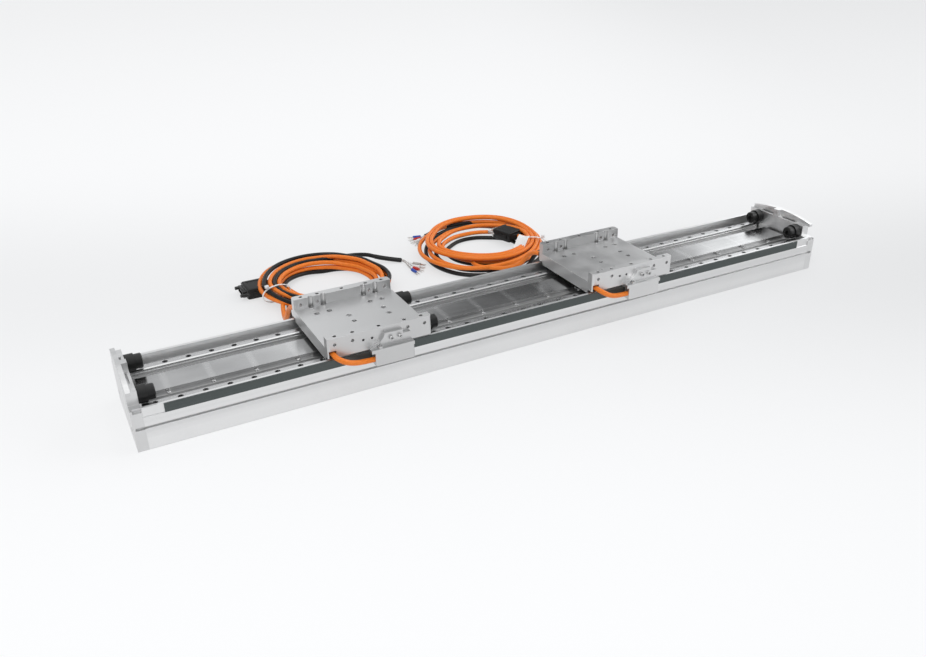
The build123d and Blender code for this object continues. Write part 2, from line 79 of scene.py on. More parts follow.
def add_camera():
    turn, dip, roll = (math.radians(angle) for angle in CAMERA_ANGLES)
    flat = math.cos(dip)
    ahead = Vector((math.sin(turn) * flat, math.cos(turn) * flat, -math.sin(dip)))
    level = ahead.cross(Vector((0, 0, 1))).normalized()
    upright = level.cross(ahead)
    across = math.cos(roll) * level + math.sin(roll) * upright
    up = math.cos(roll) * upright - math.sin(roll) * level
    bpy.ops.object.camera_add()
    camera = bpy.context.object
    camera.name = "camera"
    turned = Matrix((across, up, -ahead)).transposed().to_4x4()
    camera.matrix_world = Matrix.Translation(CAMERA_PLACE) @ turned
    camera.data.sensor_width = CAMERA_SENSOR
    camera.data.lens = CAMERA_LENS
    camera.data.shift_x, camera.data.shift_y = CAMERA_SHIFT
    camera.data.clip_end = CAMERA_REACH
    bpy.context.scene.camera = camera


def add_lamp(name, place, size, power):
    bpy.ops.object.light_add(type="AREA", location=place)
    lamp = bpy.context.object
    lamp.name = name
    lamp.data.shape = "RECTANGLE"
    lamp.data.size, lamp.data.size_y = size
    lamp.data.energy = power
    lamp.rotation_euler = (-Vector(place)).to_track_quat("-Z", "Y").to_euler()


# Node helpers

FLOAT, VECTOR = "NodeSocketFloat", "NodeSocketVector"


def feed(tree, value, socket):
    """Gives a socket another node's output, or a plain value."""
    if isinstance(value, bpy.types.NodeSocket):
        tree.links.new(value, socket)
    else:
        socket.default_value = value


def tree_node(tree, kind, inputs=None, **settings):
    made = tree.nodes.new(kind)
    for key, value in settings.items():
        setattr(made, key, value)
    for key, value in (inputs or {}).items():
        feed(tree, value, made.inputs[key])
    return made


def tree_math(tree, operation, *values):
    return tree_node(tree, "ShaderNodeMath", dict(enumerate(values)),
                     operation=operation).outputs[0]


def tree_noise(tree, place, scale, **inputs):
    return tree_node(tree, "ShaderNodeTexNoise", {
        "Vector": place, "Scale": scale, **inputs}).outputs[0]


def tree_spread(tree, value, low, high, start=0.0, end=1.0, **settings):
    """Maps start..end to low..high, and holds the ends beyond."""
    return tree_node(tree, "ShaderNodeMapRange", {
        "Value": value, "From Min": start, "From Max": end, "To Min": low, "To Max": high},
        **settings).outputs[0]


def tree_blend(tree, share, first, second):
    return tree_node(tree, "ShaderNodeMix", {0: share, 6: first, 7: second},
                     data_type="RGBA").outputs[2]


# Effects that the finishes share, each a node group

LONG_STREAKS = (4.0, 700.0, 700.0)


def effect_tree(name, inputs, outputs):
    tree = bpy.data.node_groups.new(name, "ShaderNodeTree")
    tree.interface.new_socket("Vector", in_out="INPUT", socket_type=VECTOR)
    for label, (kind, value) in inputs.items():
        socket = tree.interface.new_socket(label, in_out="INPUT", socket_type=kind)
        socket.default_value = value
    for label, kind in outputs.items():
        tree.interface.new_socket(label, in_out="OUTPUT", socket_type=kind)
    return tree, tree.nodes.new("NodeGroupInput").outputs, tree.nodes.new("NodeGroupOutput").inputs


def make_grain():
    """Fine even grain, as on blasted or moulded surfaces."""
    tree, given, result = effect_tree(
        "fine grain", {"Scale": (FLOAT, 1500.0)}, {"Value": FLOAT, "Speck": FLOAT})
    noise = tree_noise(tree, given["Vector"], given["Scale"], Detail=3.0, Roughness=0.6)
    feed(tree, noise, result["Value"])
    feed(tree, tree_spread(tree, noise, 0.0, 1.0, start=0.58, end=0.72), result["Speck"])
    return tree


def make_streaks():
    """Lines drawn along one axis, as on extruded, ground and rolled metal."""
    tree, given, result = effect_tree(
        "drawn streaks", {"Stretch": (VECTOR, LONG_STREAKS)}, {"Value": FLOAT, "Broad": FLOAT})
    moved = tree_node(tree, "ShaderNodeVectorMath", {0: given["Vector"], 1: given["Stretch"]},
                      operation="MULTIPLY").outputs[0]
    feed(tree, tree_noise(tree, moved, 1.0, Detail=4.0), result["Value"])
    feed(tree, tree_noise(tree, moved, 0.12, Detail=2.0), result["Broad"])
    return tree


def make_handling():
    """Faint marks of hands and cloths: soft patches broken up by small scuffs."""
    tree, given, result = effect_tree(
        "handling marks", {"Scale": (FLOAT, 22.0), "Amount": (FLOAT, 0.5)}, {"Mask": FLOAT})
    patch = tree_noise(tree, given["Vector"], given["Scale"], Detail=3.0, Distortion=0.6)
    small = tree_math(tree, "MULTIPLY", given["Scale"], 14.0)
    scuff = tree_noise(tree, given["Vector"], small, Detail=5.0, Roughness=0.7)
    both = tree_math(tree, "MULTIPLY", patch, scuff)
    mask = tree_spread(tree, both, 0.0, 1.0, start=0.22, end=0.40)
    feed(tree, tree_math(tree, "MULTIPLY", mask, given["Amount"]), result["Mask"])
    return tree


def make_edges():
    """A rounded edge normal, and a mask of the edges where a finish wears first."""
    tree, given, result = effect_tree(
        "edge wear", {"Radius": (FLOAT, 0.0004)}, {"Mask": FLOAT, "Normal": VECTOR})
    rounded = tree_node(tree, "ShaderNodeBevel", {"Radius": given["Radius"]}, samples=4).outputs[0]
    flat = tree_node(tree, "ShaderNodeNewGeometry").outputs["Normal"]
    close = tree_node(tree, "ShaderNodeVectorMath", {0: rounded, 1: flat},
                      operation="DOT_PRODUCT").outputs["Value"]
    edge = tree_spread(tree, close, 0.0, 1.0, start=0.995, end=0.80)
    noise = tree_noise(tree, given["Vector"], 240.0, Detail=4.0)
    worn = tree_spread(tree, noise, 0.0, 1.0, start=0.40, end=0.62)
    feed(tree, tree_math(tree, "MULTIPLY", edge, worn), result["Mask"])
    feed(tree, rounded, result["Normal"])
    return tree


EFFECTS = {
    "grain": make_grain(),
    "streaks": make_streaks(),
    "handling": make_handling(),
    "edges": make_edges(),
}


# Finishes

# The spans that much of a noise and most of it lie in, each mapped to a finish's own range
INNER_SPAN, OUTER_SPAN = (0.35, 0.65), (0.3, 0.7)
# How deep a finish's relief is, and how wide its rounded edges look
FINE_RELIEF, SOFT_RELIEF, JACKET_RELIEF = 0.00003, 0.00004, 0.00006
WIDE_EDGE, FINE_EDGE = 0.0004, 0.0003
CORE_TWIST = 130.0  # radians per metre that a cable's cores turn in its jacket
# The cover's pale bands are painted reflection of the track screws, one for each pair of them
REFLECTION_BAND_TURN = 137.49  # radians per metre: one band on the cover for each pair of track screws


class Finish:
    """A material's node tree, with short calls to place and join its nodes."""

    def __init__(self, name):
        self.material = bpy.data.materials.new(name)
        self.material.use_nodes = True
        self.tree = self.material.node_tree
        self.shader = self.tree.nodes["Principled BSDF"]
        self.place = self.node("ShaderNodeTexCoord").outputs["Object"]

    def node(self, kind, inputs=None, **settings):
        return tree_node(self.tree, kind, inputs, **settings)

    def effect(self, name, **inputs):
        return self.node("ShaderNodeGroup", {"Vector": self.place, **inputs},
                         node_tree=EFFECTS[name]).outputs

    def blend(self, share, first, second):
        return tree_blend(self.tree, share, first, second)

    def spread(self, value, low, high, start=0.0, end=1.0):
        return tree_spread(self.tree, value, low, high, start, end)

    def add(self, first, second):
        return tree_math(self.tree, "ADD", first, second)

    def times(self, first, second):
        return tree_math(self.tree, "MULTIPLY", first, second)

    def surface(self, **inputs):
        """Feeds the shader's inputs; an underscore stands for a space."""
        for key, value in inputs.items():
            feed(self.tree, value, self.shader.inputs[key.replace("_", " ")])

    def bump(self, height, strength, distance, **normal):
        made = self.node("ShaderNodeBump", {
            "Height": height, "Strength": strength, "Distance": distance, **normal})
        self.surface(Normal=made.outputs[0])


def grey(value, warm=0.0):
    return (value * (1 + warm), value, value * (1 - warm), 1.0)


def metal(name, dark, light, rough, streak=LONG_STREAKS, grain=1800.0, bump=0.15, handled=0.3,
          worn=None, metallic=1.0):
    """Bare, anodised or ground metal: streaks, grain, handling marks and bright worn edges."""
    finish = Finish(name)
    streaks = finish.effect("streaks", Stretch=streak)
    fine = finish.effect("grain", Scale=grain)
    marks = finish.effect("handling", Amount=handled)
    edges = finish.effect("edges", Radius=WIDE_EDGE)
    speck_share, mark_share, mark_dulling = 0.18, 0.4, 0.12
    tone = finish.blend(finish.spread(streaks["Broad"], 0, 1, *INNER_SPAN), dark, light)
    speckled = finish.blend(finish.times(fine["Speck"], speck_share), tone, worn or light)
    marked = finish.blend(finish.times(marks["Mask"], mark_share), speckled, dark)
    uneven = finish.spread(streaks["Value"], *rough, *OUTER_SPAN)
    finish.surface(
        Base_Color=finish.blend(edges["Mask"], marked, worn or light),
        Roughness=finish.add(uneven, finish.times(marks["Mask"], mark_dulling)),
        Metallic=metallic)
    relief = finish.add(fine["Value"], streaks["Value"])
    finish.bump(relief, bump, FINE_RELIEF, Normal=edges["Normal"])
    return finish.material


def moulded(name, dark, light, rough, grain=1400.0, coat=0.0, worn=None):
    """Moulded plastic or rubber: fine texture, a soft sheen and edges that catch the light."""
    finish = Finish(name)
    fine = finish.effect("grain", Scale=grain)
    marks = finish.effect("handling", Amount=0.5, Scale=40.0)
    edges = finish.effect("edges", Radius=FINE_EDGE)
    mark_share, edge_share, mark_dulling = 0.35, 0.6, 0.1
    tone = finish.blend(finish.spread(fine["Value"], 0, 1, *INNER_SPAN), dark, light)
    marked = finish.blend(finish.times(marks["Mask"], mark_share), tone, worn or light)
    uneven = finish.spread(fine["Value"], *rough, *OUTER_SPAN)
    finish.surface(
        Base_Color=finish.blend(finish.times(edges["Mask"], edge_share), marked, worn or light),
        Roughness=finish.add(uneven, finish.times(marks["Mask"], mark_dulling)),
        Coat_Weight=coat, Coat_Roughness=0.18, Specular_IOR_Level=0.28)
    finish.bump(fine["Value"], 0.3, SOFT_RELIEF, Normal=edges["Normal"])
    return finish.material


def jacket(name, dark, light, rough):
    """A cable's jacket: smooth, with faint ribs of the cores under it, rubbed dull in places."""
    finish = Finish(name)
    along, around = (
        finish.node("ShaderNodeAttribute", attribute_name=label, attribute_type="GEOMETRY")
        .outputs["Fac"] for label in ("run", "round"))
    fine = finish.effect("grain", Scale=900.0)
    marks = finish.effect("handling", Amount=0.7, Scale=60.0)
    mark_share, rib_share = 0.45, 0.8
    ribs = tree_math(finish.tree, "SINE", finish.add(finish.times(along, CORE_TWIST), around))
    tone = finish.blend(finish.spread(fine["Value"], 0, 1, *OUTER_SPAN), dark, light)
    finish.surface(
        Base_Color=finish.blend(finish.times(marks["Mask"], mark_share), tone, light),
        Roughness=finish.spread(marks["Mask"], *rough),
        Coat_Weight=0.03, Coat_Roughness=0.3, Specular_IOR_Level=0.2)
    finish.bump(finish.add(finish.times(ribs, rib_share), fine["Value"]), 0.25, JACKET_RELIEF)
    return finish.material


def cover_steel():
    """Polished stainless steel, with a faint pale band of painted reflection of the track screws
    across it at each pair of them.
    """
    finish = Finish("stainless cover")
    streaks = finish.effect("streaks", Stretch=(5.0, 600.0, 600.0))
    marks = finish.effect("handling", Amount=0.6, Scale=30.0)
    edges = finish.effect("edges", Radius=FINE_EDGE)
    streak_share, reflection_share, mark_dulling, reflection_dulling, patch_relief = 0.3, 0.28, 0.10, 0.05, 2.0
    x = finish.node("ShaderNodeSeparateXYZ", {0: finish.place}).outputs[0]
    phase = finish.times(finish.add(x, -TRACK_ROW[0]), REFLECTION_BAND_TURN)
    screw_reflection = finish.spread(tree_math(finish.tree, "COSINE", phase), 0, 1, start=0.80)
    cloud = finish.node("ShaderNodeMapping", {
        "Vector": finish.place, "Scale": (9.0, 14.0, 1.0)}).outputs[0]
    patches = tree_noise(finish.tree, cloud, 1.0, Detail=2.0)
    tone = finish.blend(finish.spread(patches, 0, 1, *INNER_SPAN), grey(0.34), grey(0.56))
    drawn = finish.blend(finish.times(streaks["Broad"], streak_share), tone, grey(0.62))
    # Painted reflection: the cover's colour is made paler in a band at each pair of track screws
    with_reflections = finish.blend(finish.times(screw_reflection, reflection_share), drawn, grey(0.74))
    dulled = finish.add(finish.spread(streaks["Value"], 0.14, 0.22, *OUTER_SPAN),
                        finish.times(marks["Mask"], mark_dulling))
    finish.surface(
        Base_Color=finish.blend(edges["Mask"], with_reflections, grey(0.8)),
        Roughness=finish.add(dulled, finish.times(screw_reflection, reflection_dulling)),
        Metallic=1.0)
    relief = finish.add(streaks["Value"], finish.times(patches, patch_relief))
    finish.bump(relief, 0.1, SOFT_RELIEF, Normal=edges["Normal"])
    return finish.material


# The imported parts' slots: darker and lighter tone, span of roughness, and stretch of the streaks
FINISHES = {
    "anodised_extrusion": metal(
        "anodised extrusion", grey(0.66), grey(0.80), (0.28, 0.40), (3.0, 500.0, 500.0), bump=0.12),
    "machined_aluminium": metal(
        "machined aluminium", grey(0.64), grey(0.78), (0.30, 0.42), (60.0, 500.0, 40.0), bump=0.2),
    "carriage_aluminium": metal(
        "blasted aluminium", grey(0.60), grey(0.72), (0.32, 0.42), (30.0, 30.0, 30.0),
        grain=2600.0, bump=0.35, handled=0.2),
    "ground_rail": metal(
        "ground rail steel", grey(0.50), grey(0.66), (0.20, 0.32), (5.0, 900.0, 900.0)),
    "yoke_steel": metal(
        "plated yoke steel", grey(0.42), grey(0.55), (0.30, 0.42), (8.0, 120.0, 120.0)),
    "magnet_plating": metal("nickel plating", grey(0.55, 0.03), grey(0.68, 0.03), (0.22, 0.34)),
    "block_steel": metal(
        "guide block steel", grey(0.45), grey(0.58), (0.28, 0.40), (10.0, 400.0, 400.0)),
    "screw_steel": metal(
        "screw steel", grey(0.50), grey(0.64), (0.20, 0.30), (300.0, 300.0, 300.0),
        worn=grey(0.80)),
    "terminal_metal": metal(
        "tinned copper", grey(0.60, 0.04), grey(0.75, 0.03), (0.25, 0.38), (200.0, 200.0, 200.0)),
    "scale_tape": metal(
        "scale tape", (0.045, 0.055, 0.055, 1), (0.075, 0.088, 0.086, 1), (0.34, 0.46),
        (6.0, 500.0, 500.0), worn=grey(0.30), metallic=0.4),
    "black_plastic": moulded(
        "black plastic", grey(0.006), grey(0.010), (0.40, 0.52), worn=grey(0.025)),
    "forcer_resin": moulded(
        "potting resin", grey(0.02), grey(0.035), (0.30, 0.44), worn=grey(0.08)),
    "bumper_rubber": moulded(
        "bumper rubber", grey(0.006), grey(0.010), (0.28, 0.40), coat=0.1, worn=grey(0.025)),
    "orange_jacket": jacket(
        "orange jacket", (0.72, 0.165, 0.016, 1), (0.84, 0.23, 0.032, 1), (0.34, 0.52)),
    "black_jacket": jacket("black jacket", grey(0.007), grey(0.012), (0.36, 0.52)),
    "stainless_cover": cover_steel(),
}
# Finishes of the pieces that are only modelled here
EXTRAS = {
    "nylon": moulded("white nylon", grey(0.70), grey(0.80), (0.30, 0.42), worn=grey(0.88)),
    "tag": moulded("white tag", grey(0.74), grey(0.82), (0.50, 0.62), grain=700.0, worn=grey(0.9)),
    "blue": moulded("blue sleeve", (0.02, 0.06, 0.33, 1), (0.03, 0.09, 0.42, 1), (0.35, 0.5)),
    "red": moulded("red sleeve", (0.42, 0.02, 0.015, 1), (0.55, 0.035, 0.02, 1), (0.35, 0.5)),
    # Dark steel for connector A's metal parts, and for the rail screws, whose darkness is painted
    # shade of the deep counterbores they sit in
    "dark_steel_and_recess_shade": metal(
        "dark screw steel with painted recess shade", grey(0.03), grey(0.07), (0.24, 0.36), (300.0, 300.0, 300.0),
        worn=grey(0.45)),
    "wire": moulded("grey wire", grey(0.34, 0.05), grey(0.46, 0.05), (0.38, 0.5)),
}


def dress_nodes():
    for node in nodes.values():
        for slot in node.material_slots:
            slot.material = FINISHES[slot.material.name]


# Modelling helpers: each works on one piece, as a hand at the bench would

def start_piece():
    if bpy.context.object and bpy.context.object.mode != "OBJECT":
        bpy.ops.object.mode_set(mode="OBJECT")
    bpy.ops.object.select_all(action="DESELECT")


def take(piece):
    start_piece()
    piece.select_set(True)
    bpy.context.view_layer.objects.active = piece


def name_piece(name, material):
    """Names the piece that was just added, and gives it its one material."""
    piece = bpy.context.object
    piece.name = name
    piece.data.name = name
    piece.data.materials.clear()
    piece.data.materials.append(material)
    return piece


def choose(piece, kind, test):
    """In edit mode, selects the faces or edges that pass a test of their centre (and normal)."""
    bpy.ops.object.mode_set(mode="EDIT")
    bpy.ops.mesh.select_mode(type="FACE" if kind == "face" else "EDGE")
    bpy.ops.mesh.select_all(action="DESELECT")
    bpy.ops.object.mode_set(mode="OBJECT")
    mesh = piece.data
    for part in (mesh.polygons if kind == "face" else mesh.edges):
        middle = sum((mesh.vertices[i].co for i in part.vertices), Vector()) / len(part.vertices)
        part.select = test(middle, part.normal if kind == "face" else None)
    bpy.ops.object.mode_set(mode="EDIT")


def done():
    bpy.ops.object.mode_set(mode="OBJECT")


def settle(piece):
    """Leaves the piece at the origin, unturned and unscaled, with its place in its mesh."""
    take(piece)
    bpy.ops.object.transform_apply(location=True, rotation=True, scale=True)
    return piece


def fit_modifier(piece, kind, **settings):
    take(piece)
    made = piece.modifiers.new(kind.lower(), kind)
    for key, value in settings.items():
        setattr(made, key, value)
    bpy.ops.object.modifier_apply(modifier=made.name)


def copy_piece(piece, name, matrix):
    twin = piece.copy()
    twin.data = piece.data.copy()
    twin.name = name
    twin.data.name = name
    bpy.context.collection.objects.link(twin)
    twin.data.transform(matrix)
    return twin


def join_pieces(pieces, name):
    start_piece()
    for piece in pieces:
        piece.select_set(True)
    bpy.context.view_layer.objects.active = pieces[0]
    if len(pieces) > 1:
        bpy.ops.object.join()
    pieces[0].name = name
    pieces[0].data.name = name
    return pieces[0]


def remove_piece(piece):
    start_piece()
    piece.select_set(True)
    bpy.ops.object.delete()


def cut_away(piece, cutter):
    fit_modifier(piece, "BOOLEAN", object=cutter, operation="DIFFERENCE", solver="EXACT")
    remove_piece(cutter)


def smooth(piece, angle=35):
    take(piece)
    bpy.ops.object.shade_smooth_by_angle(angle=math.radians(angle))


def bevelled_box(name, low, high, material, edge, segments=2):
    start_piece()
    middle = [(a + b) / 2 for a, b in zip(low, high)]
    bpy.ops.mesh.primitive_cube_add(size=1.0, location=middle)
    bpy.context.object.scale = [b - a for a, b in zip(low, high)]
    box = settle(name_piece(name, material))
    choose(box, "edge", lambda p, n: True)
    bpy.ops.mesh.bevel(offset=edge, segments=segments)
    done()
    return box


def rod_along_x(name, radius, length, middle, material):
    start_piece()
    bpy.ops.mesh.primitive_cylinder_add(vertices=14, radius=radius, depth=length, location=middle,
                                        rotation=(0, math.pi / 2, 0))
    return settle(name_piece(name, material))


# Lines and tubes

WINDING_STEP = 22.5  # degrees between the points of a coil's turns


def curve_of(name, points):
    """A smooth curve whose control points are the route's points."""
    data = bpy.data.curves.new(name, "CURVE")
    data.dimensions = "3D"
    data.resolution_u = 6
    spline = data.splines.new("NURBS")
    spline.points.add(len(points) - 1)
    for point, place in zip(spline.points, points):
        point.co = (*place, 1.0)
    spline.order_u = 3
    spline.use_endpoint_u = True
    curve = bpy.data.objects.new(name, data)
    bpy.context.collection.objects.link(curve)
    return curve


def line_through(name, points, step):
    """The points that a smooth curve runs through, at least a step apart, between its ends."""
    guide = curve_of(name, points)
    bpy.context.view_layer.update()
    mesh = bpy.data.meshes.new_from_object(guide)
    line = [v.co.copy() for v in mesh.vertices]
    bpy.data.meshes.remove(mesh)
    remove_piece(guide)
    kept = [line[0]]
    for point in line[1:-1]:
        if (point - kept[-1]).length > step:
            kept.append(point)
    return kept + [line[-1]]


def tube_along(name, line, thick, material, sides=10):
    """A round tube along a line, with its run and its way round kept as attributes."""
    ahead = (line[1] - line[0]).normalized()
    side = ahead.orthogonal().normalized()
    vertices, faces, runs, rounds = [], [], [], []
    run = 0.0
    for i, point in enumerate(line):
        before, after = line[max(i - 1, 0)], line[min(i + 1, len(line) - 1)]
        ahead = (after - before).normalized()
        side = (side - ahead * side.dot(ahead)).normalized()
        other = ahead.cross(side)
        run += (point - before).length if i else 0.0
        for k in range(sides):
            angle = 2 * math.pi * k / sides
            out = side * math.cos(angle) + other * math.sin(angle)
            vertices.append(point + out * thick / 2)
            runs.append(run)
            rounds.append(angle)
    for i in range(len(line) - 1):
        for k in range(sides):
            a, b = i * sides + k, i * sides + (k + 1) % sides
            faces.append((a, b, b + sides, a + sides))
    faces.append(tuple(reversed(range(sides))))
    faces.append(tuple(range(len(vertices) - sides, len(vertices))))
    mesh = bpy.data.meshes.new(name)
    mesh.from_pydata(vertices, [], faces)
    for label, values in (("run", runs), ("round", rounds)):
        mesh.attributes.new(label, "FLOAT", "POINT").data.foreach_set("value", values)
    mesh.materials.append(material)
    piece = bpy.data.objects.new(name, mesh)
    bpy.context.collection.objects.link(piece)
    smooth(piece, 50)
    return piece


def winding(letter, stations):
    """Points along a coil's turns: stations are (angle in degrees, radius and height in mm)."""
    x, y = COIL_CENTRES[letter]
    steps = []
    for (a0, r0, z0), (a1, r1, z1) in zip(stations, stations[1:]):
        count = max(1, round(abs(a1 - a0) / WINDING_STEP))
        for share in (i / count for i in range(count)):
            steps.append((a0 + (a1 - a0) * share, r0 + (r1 - r0) * share, z0 + (z1 - z0) * share))
    points = []
    for degrees, radius, height in steps + [stations[-1]]:
        angle = math.radians(degrees)
        points.append((x + radius * MM * math.cos(angle), y + radius * MM * math.sin(angle),
                       height * MM))
    return points


def metres(points):
    return [tuple(value * MM for value in point) for point in points]


# Cables: their routes, in mm. Leads are steps from the cable's exit, turns are a coil's stations,
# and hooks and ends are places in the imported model's frame.

LEADS = {
    "signal_a": [(0, 0, 0), (0, 23, 0), (-1, 45, -36), (10, 96, -44), (24, 140, -42)],
    "signal_b": [(0, 0, 0), (0, 23, 0), (-7, 44, -35), (-40, 86, -42)],
    "power_a": [(0, 0, 0), (0, 21, 0), (0.5, 42, -40), (8, 92, -50), (22, 136, -49)],
    "power_b": [(0, 0, 0), (0, 21, 0), (-4, 41, -40), (-36, 81, -49)],
}
# Hooks let coil B's cables enter it and turn the way it is wound
HOOKS = {
    "signal_a": [], "power_a": [],
    "signal_b": [(40, 161, 12.5), (43, 175, 13), (54, 182, 13.5)],
    "power_b": [(50, 157, 4.5), (51, 170, 4), (62, 178, 3.4)],
}
TURNS = {
    "signal_a": [
        (180, 90, 13.5), (135, 80, 13), (90, 63, 13.5), (45, 50.5, 13.5),
        (0, 52.5, 14), (-45, 77, 14), (-90, 94, 13), (-135, 99, 13.5),
        (-180, 103, 13), (-225, 97, 14), (-270, 76, 14), (-315, 61, 14),
        (-360, 65, 14.5), (-405, 84, 14), (-450, 90, 14), (-495, 91, 18),
        (-540, 90.5, 20), (-585, 74, 20), (-630, 57, 20), (-675, 49.8, 20.5),
        (-720, 52.3, 20.5), (-765, 75, 19), (-810, 84, 17), (-855, 82, 18),
        (-900, 78, 18), (-945, 61.5, 17), (-990, 44.5, 17), (-1035, 44, 12),
        (-1080, 46.8, 13), (-1125, 66, 14), (-1170, 80, 12), (-1215, 81, 12),
        (-1260, 77, 11.5), (-1305, 62, 10.5), (-1350, 45, 9.5), (-1395, 43.5, 6),
        (-1440, 47, 6.8), (-1485, 60, 6.5), (-1530, 66, 6), (-1608, 58.5, 3.3)],
    "power_a": [
        (180, 71, 12), (135, 57, 7), (90, 43.5, 3.3), (45, 49.5, 3.4),
        (0, 53, 7.5), (-45, 65, 8), (-90, 76, 7), (-135, 84, 9),
        (-180, 84, 12.5), (-225, 73, 13), (-270, 56.5, 13), (-315, 55, 8.5),
        (-360, 58.7, 13.5), (-405, 80, 9), (-450, 97, 7), (-495, 101, 15),
        (-540, 97, 19.5), (-585, 86, 20), (-630, 70, 20), (-675, 56, 20),
        (-720, 58.5, 20), (-765, 86, 20.5), (-810, 94, 20.5), (-855, 92, 20.5),
        (-900, 84, 19.5), (-945, 67.5, 19), (-990, 51, 18.5)],
    "signal_b": [
        (251, 58, 14), (270, 64, 14), (315, 68, 14), (360, 62, 14),
        (405, 50, 11), (450, 46, 10.5), (495, 50, 11), (540, 62, 14), (585, 72, 13),
        (630, 78, 12), (675, 84, 13), (720, 80, 13), (765, 70, 14),
        (810, 62, 14), (855, 63, 14), (900, 84, 12), (945, 97, 12),
        (990, 96, 12.5), (1035, 92, 16), (1080, 88, 16.5), (1125, 88, 14),
        (1170, 85, 14), (1215, 86, 13), (1260, 97, 12), (1305, 102, 13),
        (1350, 95, 16), (1395, 87, 20), (1440, 84, 20.5), (1485, 96, 20),
        (1530, 90, 20), (1575, 78, 20), (1620, 82, 20), (1665, 80, 20),
        (1710, 84, 20), (1755, 80.5, 20.5), (1800, 77.8, 20.5), (1845, 89.8, 20.5),
        (1890, 84, 20.5), (1935, 72, 20), (1980, 76, 20), (2025, 74, 20),
        (2070, 78, 20.5), (2115, 74.3, 20.5), (2160, 71.6, 20.5), (2205, 62, 18),
        (2250, 54, 18), (2295, 55, 17), (2340, 68, 19), (2385, 68, 20.5),
        (2430, 72, 20.5), (2482, 71, 20.5)],
    "power_b": [
        (258, 60, 3.2), (270, 62, 4), (315, 64, 5), (360, 56, 5), (405, 44.5, 3.6),
        (450, 43.5, 3.3), (495, 44, 3.6), (540, 55, 5), (585, 66, 6),
        (630, 72, 5.5), (675, 78, 6), (720, 74, 6.5), (765, 60, 7.5),
        (810, 54, 6.5), (855, 55, 6.5), (900, 74, 6), (945, 88, 5),
        (990, 88, 5), (1035, 86, 7), (1080, 81, 7), (1125, 79, 9),
        (1170, 73.5, 12), (1215, 75, 12), (1260, 88, 4.5), (1305, 103, 4),
        (1350, 102, 4), (1395, 98, 6), (1440, 92, 9), (1500, 92, 13)],
}
ENDS = {
    "signal_a": [(-211, 236, 3.6), (-220, 247, 5.6), (-232, 247, 7.5)],
    "signal_b": [(150.5, 209, 17), (146, 223, 14.5)],
    "power_a": [(-82, 276, 14), (-60, 264, 6), (-36, 249, 3.4)],
    "power_b": [(70, 311, 15), (56, 320, 7), (40, 317, 3.4)],
}
# The reader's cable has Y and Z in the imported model's frame, and X from the carriage's middle
READER_ROUTE = [(-10.5, -64.1, 38.6), (-24.5, -64.1, 38.6), (-40.8, -70, 45), (-51.3, -70, 51.6),
                (-54.8, -61.5, 53.9), (-54.8, 60, 53.9)]

# In metres again: the least step between the rings of each kind of tube
CABLE_STEP, READER_STEP, WIRE_STEP = 0.003, 0.0015, 0.0012

# The sleeve shrunk over a power cable's end, and the rim that is drawn in at its mouth
SHRINK_LENGTH, SHRINK_THICK, SHRINK_BEYOND = 0.034, 0.0066, 0.002
SHRINK_RIM = 0.0012


def cable_route(kind, letter):
    key = f"{kind}_{letter}"
    beside = POWER_BESIDE if kind == "power" else 0.0
    exit_x, exit_y, exit_z = CABLE_EXIT
    x = CARRIAGES[letter] + exit_x + beside
    lead = [(x + p[0] * MM, exit_y + p[1] * MM, exit_z + p[2] * MM) for p in LEADS[key]]
    return lead + metres(HOOKS[key]) + winding(letter, TURNS[key]) + metres(ENDS[key])


def make_cable(kind, letter, material, replaced, end_piece):
    route = cable_route(kind, letter)
    name = f"{kind}_cable_{letter}"
    line = line_through(f"{name}_route", route, CABLE_STEP)
    piece = tube_along(name, line, CABLE_THICK, FINISHES[material])
    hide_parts(*replaced)
    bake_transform(piece)
    if kind == "power":
        shrink_sleeve(f"shrink_sleeve_{letter}", line)


def shrink_sleeve(name, line):
    """The sleeve shrunk over the last stretch of a power cable, where its wires come out."""
    reach, tail = 0.0, [line[-1]]
    for point in reversed(line[:-1]):
        reach += (point - tail[-1]).length
        tail.append(point)
        if reach > SHRINK_LENGTH:
            break
    tail.reverse()
    beyond = (line[-1] - line[-2]).normalized() * SHRINK_BEYOND
    mouth = line[-1] + Vector((beyond.x, beyond.y, 0))
    heading = (mouth - line[-1]).normalized()
    piece = tube_along(name, tail + [mouth], SHRINK_THICK, FINISHES["black_plastic"], 16)
    choose(piece, "face", lambda p, n: abs(n.dot(heading)) > 0.95 and (p - mouth).length < 0.001)
    bpy.ops.mesh.inset(thickness=SHRINK_RIM)
    bpy.ops.transform.translate(value=heading * SHRINK_RIM)
    done()
    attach(piece, "base")
    return piece


def make_reader_cable(letter):
    x = CARRIAGES[letter] / MM
    route = metres([(x + p[0], p[1], p[2]) for p in READER_ROUTE])
    line = line_through(f"reader_cable_{letter}_route", route, READER_STEP)
    orange = FINISHES["orange_jacket"]
    piece = tube_along(f"reader_head_cable_{letter}", line, CABLE_THICK, orange, 14)
    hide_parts(f"reader_cable_{letter}")
    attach(piece, f"carriage_{letter}")


# Hooded connectors: where each one lies and how far it is turned, and its boxes' corners. The
# plug end faces +X before the turn.

CONNECTORS = {"a": ((-0.248, 0.247, 0.0), 180.0), "b": ((0.141, 0.239, 0.007), 108.0)}
HOOD = ((-0.017, -0.016, 0.0), (0.017, 0.016, 0.015))
SHELL = ((0.0165, -0.0125, 0.003), (0.023, 0.0125, 0.012))
FLANGE = ((0.0163, -0.0158, 0.0015), (0.0178, 0.0158, 0.0135))
GRIP_X, GRIP_Y, GRIP_Z, GRIP_HALF = (-0.0115, 0.0095), 0.0162, (0.0045, 0.0105), 0.0018
THUMB_RADIUS, THUMB_LENGTH = 0.0024, 0.012
THUMB_X, THUMB_Y, THUMB_Z = 0.0205, 0.0142, 0.0075
SQUARE_TO = 0.99  # a face looks along an axis when its normal's share of it is above this


